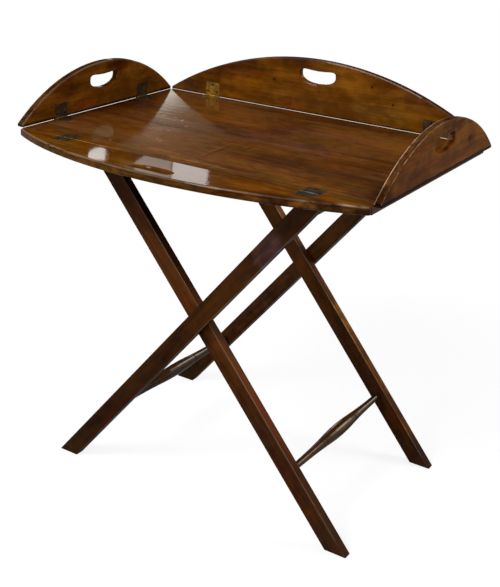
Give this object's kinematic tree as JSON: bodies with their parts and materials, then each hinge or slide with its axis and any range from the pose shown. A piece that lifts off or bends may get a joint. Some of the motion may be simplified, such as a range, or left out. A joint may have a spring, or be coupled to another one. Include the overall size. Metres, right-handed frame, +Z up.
{
  "type": "butler tray on folding stand",
  "caption": "Wooden butler's tray with four hinged D-shaped flaps with hand holes, resting on a folding X-frame stand held open by webbing straps.",
  "frame": {"origin": "middle of the bounding box in plan, on the floor that the four feet stand on", "axes": "+Z up, +X along the long side of the tray towards its right flap, +Y towards the back flap"},
  "size_m": [0.8099, 0.6276, 0.8545],
  "materials": {
    "board_mahogany": "polished varnish with a strong gloss",
    "flap_mahogany": "polished varnish, a little duller than the board",
    "leg_mahogany": "dark satin varnish with worn edges",
    "aged_brass": "dull greenish patina",
    "dark_steel": "darkened",
    "webbing": "woven"
  },
  "bodies": {
    "stand_pivot": {"pivot_pin_front": "dark_steel", "pivot_pin_back": "dark_steel", "pivot_washer_front": "dark_steel", "pivot_washer_back": "dark_steel", "webbing_strap_1": "webbing", "webbing_strap_2": "webbing", "webbing_strap_3": "webbing"},
    "outer_frame": {"outer_leg_front": "leg_mahogany", "outer_leg_back": "leg_mahogany", "outer_top_rail": "leg_mahogany", "outer_stretcher": "leg_mahogany"},
    "inner_frame": {"inner_leg_front": "leg_mahogany", "inner_leg_back": "leg_mahogany", "inner_top_rail": "leg_mahogany", "inner_stretcher": "leg_mahogany"},
    "tray": {"tray_board": "board_mahogany", "back_board_leaf_left": "aged_brass", "back_board_leaf_right": "aged_brass", "back_hinge_pin_left": "dark_steel", "back_hinge_pin_right": "dark_steel", "left_board_leaf_front": "aged_brass", "left_board_leaf_back": "aged_brass", "left_hinge_pin_front": "dark_steel", "left_hinge_pin_back": "dark_steel", "front_board_leaf_right": "aged_brass", "front_board_leaf_left": "aged_brass", "front_hinge_pin_right": "dark_steel", "front_hinge_pin_left": "dark_steel", "right_board_leaf_back": "aged_brass", "right_board_leaf_front": "aged_brass", "right_hinge_pin_back": "dark_steel", "right_hinge_pin_front": "dark_steel"},
    "back_flap": {"back_flap": "flap_mahogany", "back_flap_leaf_left": "aged_brass", "back_flap_leaf_right": "aged_brass"},
    "left_flap": {"left_flap": "flap_mahogany", "left_flap_leaf_front": "aged_brass", "left_flap_leaf_back": "aged_brass"},
    "front_flap": {"front_flap": "flap_mahogany", "front_flap_leaf_right": "aged_brass", "front_flap_leaf_left": "aged_brass"},
    "right_flap": {"right_flap": "flap_mahogany", "right_flap_leaf_back": "aged_brass", "right_flap_leaf_front": "aged_brass"}
  },
  "joints": [
    {"name": "stand_fold", "type": "hinge", "parent": "stand_pivot", "child": "outer_frame", "pos_m": [0.016, 0.05981, 0.408], "axis": [0, -1, 0], "range_deg": [0, 35], "deforming": ["webbing_strap_1", "webbing_strap_2", "webbing_strap_3"]},
    {"name": "inner_frame_fold", "type": "hinge", "parent": "stand_pivot", "child": "inner_frame", "pos_m": [0.016, 0.05981, 0.408], "axis": [0, 1, 0], "range_deg": [0, 35]},
    {"name": "tray_lift", "type": "slide", "parent": "stand_pivot", "child": "tray", "axis": [0, 0, 1], "range_m": [0, 0.22]},
    {"name": "back_flap_fold", "type": "hinge", "parent": "tray", "child": "back_flap", "pos_m": [0, 0.29881, 0.7365], "axis": [1, 0, 0], "range_deg": [-90, 5]},
    {"name": "left_flap_fold", "type": "hinge", "parent": "tray", "child": "left_flap", "pos_m": [-0.39, 0.05181, 0.7365], "axis": [0, 1, 0], "range_deg": [-95, 0]},
    {"name": "front_flap_fold", "type": "hinge", "parent": "tray", "child": "front_flap", "pos_m": [0, -0.19519, 0.7365], "axis": [-1, 0, 0], "range_deg": [-5.5, 89.5]},
    {"name": "right_flap_fold", "type": "hinge", "parent": "tray", "child": "right_flap", "pos_m": [0.39, 0.05181, 0.7365], "axis": [0, -1, 0], "range_deg": [-90, 5]}
  ],
  "couplings": [
    {"joint": "inner_frame_fold", "follows": "stand_fold", "ratio": 1},
    {"joint": "tray_lift", "follows": "stand_fold", "m_per_rad": 0.36}
  ]
}
